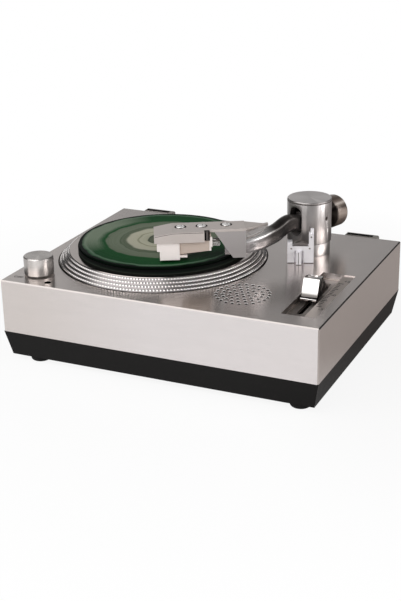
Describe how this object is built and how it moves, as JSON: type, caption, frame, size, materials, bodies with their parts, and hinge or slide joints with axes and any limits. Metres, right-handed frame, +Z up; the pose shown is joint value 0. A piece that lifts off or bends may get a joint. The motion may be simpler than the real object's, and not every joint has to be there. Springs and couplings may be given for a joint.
{
  "type": "mini turntable",
  "caption": "Small box-shaped record player with a belt-driven platter, a small green record, a bent arm on a round post, a pitch fader, a volume knob and a built-in loudspeaker.",
  "frame": {"origin": "on the table, under the middle of the part's whole outline", "axes": "+X to the right seen from the front, +Y to the back, +Z up; the front faces -Y"},
  "size_m": [0.147, 0.1174, 0.0639],
  "materials": {
    "silver_paint": "satin silver paint",
    "black_plastic": "fine matt black",
    "dark_lens": "dark clear lens",
    "black_rubber": "matt black",
    "platter_metal": "turned, with small dots on the rim",
    "green_vinyl": "clear green, grooved",
    "steel": "bright steel",
    "brass": "plain brass",
    "tinned_case": "tinned steel",
    "magnet": "dark ferrite",
    "turned_aluminium": "fine turned aluminium",
    "cap_chrome": "bright plated",
    "arm_silver": "satin silver",
    "shell_silver": "fine-grained matt silver",
    "dark_nickel": "dark turned nickel",
    "beige_plastic": "warm grey beige",
    "white_plastic": "warm white",
    "stylus_metal": "fine tube",
    "board_green": "green board"
  },
  "bodies": {
    "root": {"top_cover": "silver_paint", "base_pan": "black_plastic", "rubber_feet": "black_rubber", "base_screws": "steel", "hinge_sockets": "silver_paint", "hinge_pads": "black_plastic", "spindle_bush": "brass", "drive_belt": "black_rubber", "motor": "tinned_case", "motor_ring": "black_rubber", "motor_screws": "steel", "volume_pot": "tinned_case", "power_led": "dark_lens", "speaker_basket": "tinned_case", "speaker_cone": "black_plastic", "speaker_magnet": "magnet", "slider_panel": "silver_paint", "pitch_pot": "tinned_case", "pivot_base": "turned_aluminium", "pivot_nut": "steel", "arm_rest": "arm_silver", "audio_socket": "black_plastic", "power_socket": "black_plastic", "circuit_board": "board_green", "board_parts": "black_plastic", "board_screws": "steel"},
    "platter": {"platter": "platter_metal", "platter_mat": "black_rubber", "record": "green_vinyl", "spindle": "steel"},
    "motor_rotor": {"motor_pulley": "brass"},
    "knob": {"volume_knob": "turned_aluminium", "volume_shaft": "steel"},
    "pitch": {"pitch_cap": "cap_chrome", "pitch_stem": "steel"},
    "turret": {"turret": "turned_aluminium", "turret_cap": "turned_aluminium", "pivot_pin": "steel"},
    "arm": {"tonearm": "arm_silver", "pivot_block": "arm_silver", "counterweight_stem": "steel", "counterweight": "dark_nickel", "headshell": "shell_silver", "headshell_screws": "cap_chrome", "shell_bracket": "shell_silver", "cartridge": "beige_plastic", "stylus_holder": "white_plastic", "stylus": "stylus_metal", "cartridge_leads": "brass"}
  },
  "joints": [
    {"name": "platter_spin", "type": "hinge", "parent": "root", "child": "platter", "pos_m": [-0.0212, -0.00365, 0.0382], "axis": [0, 0, 1], "continuous": true},
    {"name": "motor_spin", "type": "hinge", "parent": "root", "child": "motor_rotor", "pos_m": [-0.05498, 0.01585, 0.0342], "axis": [0, 0, 1], "continuous": true},
    {"name": "knob_turn", "type": "hinge", "parent": "root", "child": "knob", "pos_m": [-0.0617, -0.04525, 0.0382], "axis": [0, 0, 1], "range_deg": [-150, 150]},
    {"name": "pitch_slide", "type": "slide", "parent": "root", "child": "pitch", "axis": [0, 1, 0], "range_m": [-0.014, 0.014]},
    {"name": "arm_swing", "type": "hinge", "parent": "root", "child": "turret", "pos_m": [0.03829, 0.02673, 0.0382], "axis": [0, 0, 1], "range_deg": [-8, 26]},
    {"name": "arm_lift", "type": "hinge", "parent": "turret", "child": "arm", "pos_m": [0.03829, 0.02673, 0.0557], "axis": [-0.9397, 0.342, 0], "range_deg": [0, 8]}
  ],
  "couplings": [
    {"joint": "motor_spin", "follows": "platter_spin", "ratio": 11.445}
  ]
}
